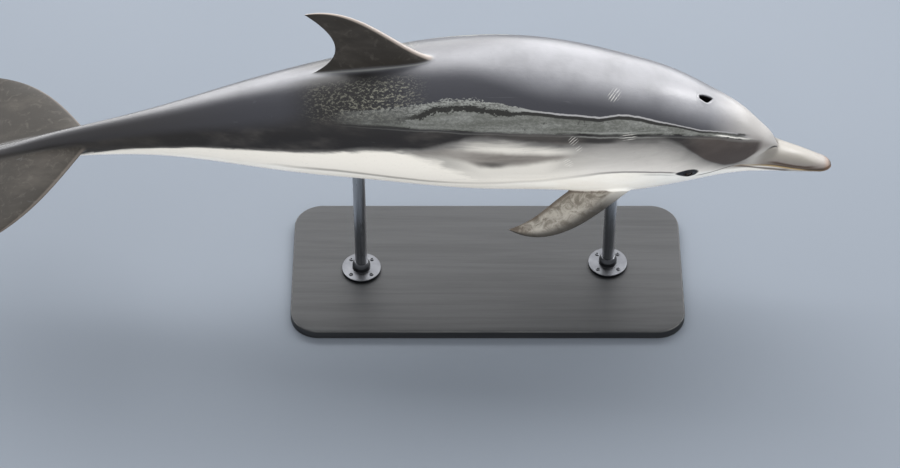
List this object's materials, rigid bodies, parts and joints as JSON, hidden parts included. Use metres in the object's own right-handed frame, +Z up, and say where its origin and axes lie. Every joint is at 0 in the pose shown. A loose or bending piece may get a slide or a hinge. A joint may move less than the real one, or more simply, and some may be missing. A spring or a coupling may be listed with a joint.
{
  "type": "striped dolphin model on a display stand",
  "caption": "Life-size leaping striped dolphin, arched and rolling slightly, with a hooked back fin, flippers and tail flukes, held on a plain flat base by short rods.",
  "frame": {"origin": "middle of the model's outline on the floor, on the underside of the stand's base", "axes": "+X the way the dolphin swims, along its length; -Y its right side; +Z up"},
  "size_m": [2.0307, 0.5427, 0.8505],
  "materials": {
    "skin": "smooth wet skin: slate-brown back, grey flanks with a pale blaze, cream belly, thin dark eye line",
    "fin_skin": "smooth wet skin, dark brown-grey with paler rubbed patches and edges",
    "eye": "wet, near-black brown",
    "stand_board": "satin charcoal lacquer",
    "stand_steel": "brushed rods, darker turned feet and cups"
  },
  "bodies": {
    "root": {"beak_upper": "skin", "lower_jaw": "skin", "head": "skin", "thorax": "skin", "abdomen": "skin", "tail_stock": "skin", "dorsal_fin": "fin_skin", "eye_right": "eye", "eye_left": "eye", "flipper_right": "fin_skin", "flipper_left": "fin_skin", "fluke_right": "fin_skin", "fluke_left": "fin_skin", "stand_base": "stand_board", "stand_foot_front": "stand_steel", "stand_rod_front": "stand_steel", "stand_cup_front": "stand_steel", "stand_foot_rear": "stand_steel", "stand_rod_rear": "stand_steel", "stand_cup_rear": "stand_steel"}
  },
  "joints": []
}
